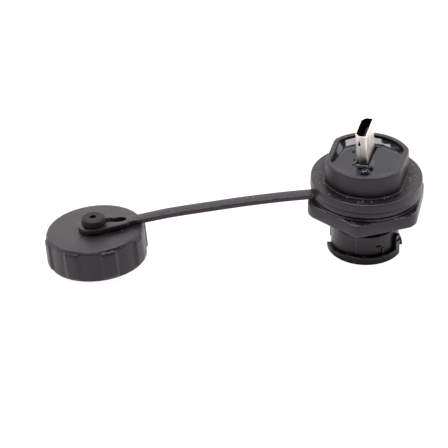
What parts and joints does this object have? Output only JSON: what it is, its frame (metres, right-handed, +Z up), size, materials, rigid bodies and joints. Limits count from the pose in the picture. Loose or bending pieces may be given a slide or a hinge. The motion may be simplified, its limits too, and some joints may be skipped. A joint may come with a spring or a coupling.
{
  "type": "bulkhead usb coupler with tethered dust cap",
  "caption": "Potted panel-mount micro USB coupler with hex nut, bayonet socket and a tethered screw-on dust cap lying beside it.",
  "frame": {"origin": "on the floor, under the middle of the whole object's bounding box", "axes": "+X runs along the tether from the cap to the receptacle, +Y is square to it, +Z is up along the receptacle's axis, out of its potted rear"},
  "size_m": [0.0818, 0.0254, 0.0288],
  "materials": {
    "housing_nylon": "satin moulded nylon",
    "nut_nylon": "satin moulded nylon",
    "cap_nylon": "fine matte moulded nylon",
    "tether_elastomer": "matte elastomer",
    "seal_rubber": "matte rubber",
    "potting_epoxy": "cast glossy resin",
    "board_laminate": "solder mask",
    "plated_shell": "bright plated steel",
    "contact_gold": "plated spring contact",
    "tongue_plastic": "moulded insulator"
  },
  "bodies": {
    "receptacle": {"receptacle_housing": "housing_nylon", "potting_compound": "potting_epoxy", "adapter_board": "board_laminate", "rear_usb_shell": "plated_shell", "rear_usb_tongue": "tongue_plastic", "rear_usb_contact_1": "contact_gold", "rear_usb_contact_2": "contact_gold", "rear_usb_contact_3": "contact_gold", "rear_usb_contact_4": "contact_gold", "rear_usb_contact_5": "contact_gold", "front_insert": "housing_nylon", "front_usb_shell": "plated_shell", "front_usb_tongue": "tongue_plastic", "front_usb_contact_1": "contact_gold", "front_usb_contact_2": "contact_gold", "front_usb_contact_3": "contact_gold", "front_usb_contact_4": "contact_gold", "front_usb_contact_5": "contact_gold", "mouth_seal": "seal_rubber"},
    "gasket": {"panel_gasket": "seal_rubber"},
    "nut": {"panel_nut": "nut_nylon"},
    "ring": {"tether_ring": "tether_elastomer"},
    "strap_inner": {"tether_strap_inner": "tether_elastomer"},
    "strap_outer": {"tether_strap_outer": "tether_elastomer"},
    "eye": {"tether_eye": "tether_elastomer"},
    "cap": {"cap_shell": "cap_nylon", "cap_pivot_pin": "cap_nylon", "cap_seal": "seal_rubber"}
  },
  "joints": [
    {"name": "nut_travel", "type": "slide", "parent": "receptacle", "child": "gasket", "axis": [0, 0, 1], "range_m": [-0.003, 0.0001]},
    {"name": "nut_turn", "type": "hinge", "parent": "gasket", "child": "nut", "pos_m": [0.02805, 0, 0.012], "axis": [0, 0, 1], "range_deg": [-1080.1, 36.1]},
    {"name": "ring_swivel", "type": "hinge", "parent": "receptacle", "child": "ring", "pos_m": [0.02805, 0, 0.015], "axis": [0, 0, 1], "continuous": true},
    {"name": "strap_root_bend", "type": "hinge", "parent": "ring", "child": "strap_inner", "pos_m": [0.01255, -0.00158, 0.01458], "axis": [0, 1, 0], "range_deg": [-70, 75], "stiffness_Nm_per_rad": 0.002},
    {"name": "strap_middle_bend", "type": "hinge", "parent": "strap_inner", "child": "strap_outer", "pos_m": [-0.00495, -0.0006, 0.01245], "axis": [0, 1, 0], "range_deg": [-75, 80], "stiffness_Nm_per_rad": 0.002},
    {"name": "strap_eye_bend", "type": "hinge", "parent": "strap_outer", "child": "eye", "pos_m": [-0.02215, -0.00033, 0.00995], "axis": [0, 1, 0], "range_deg": [-5, 60], "stiffness_Nm_per_rad": 0.002},
    {"name": "cap_swivel", "type": "hinge", "parent": "eye", "child": "cap", "pos_m": [-0.03015, -0.00033, 0.00831], "axis": [-0.091, 0.0879, 0.992], "continuous": true}
  ],
  "couplings": [
    {"joint": "nut_turn", "follows": "nut_travel", "rad_per_m": 6283.2}
  ]
}
